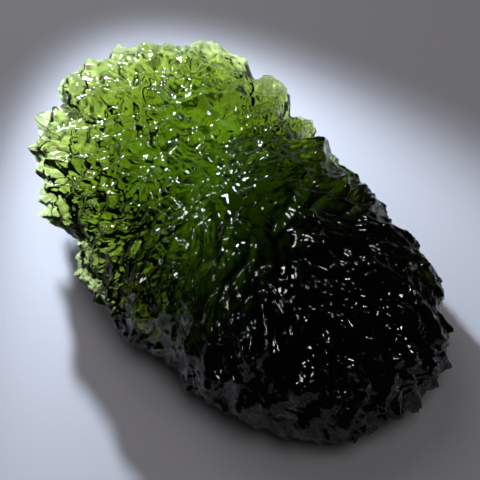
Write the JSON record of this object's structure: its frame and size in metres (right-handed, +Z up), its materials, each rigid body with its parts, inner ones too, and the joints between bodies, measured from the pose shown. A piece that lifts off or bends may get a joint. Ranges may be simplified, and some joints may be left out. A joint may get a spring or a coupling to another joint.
{
  "type": "moldavite",
  "caption": "Lens-shaped piece of green natural glass, a tektite, carved all over into fine pits with sharp crests.",
  "frame": {"origin": "middle of the stone's plan box, on the plane of the flat spot it rests on", "axes": "+X along the stone, towards its thicker, blunter end; +Y across it; +Z up, towards the higher domed side"},
  "size_m": [0.044, 0.0265, 0.0125],
  "materials": {
    "moldavite_glass": "glossy"
  },
  "bodies": {
    "root": {"moldavite": "moldavite_glass"}
  },
  "joints": []
}
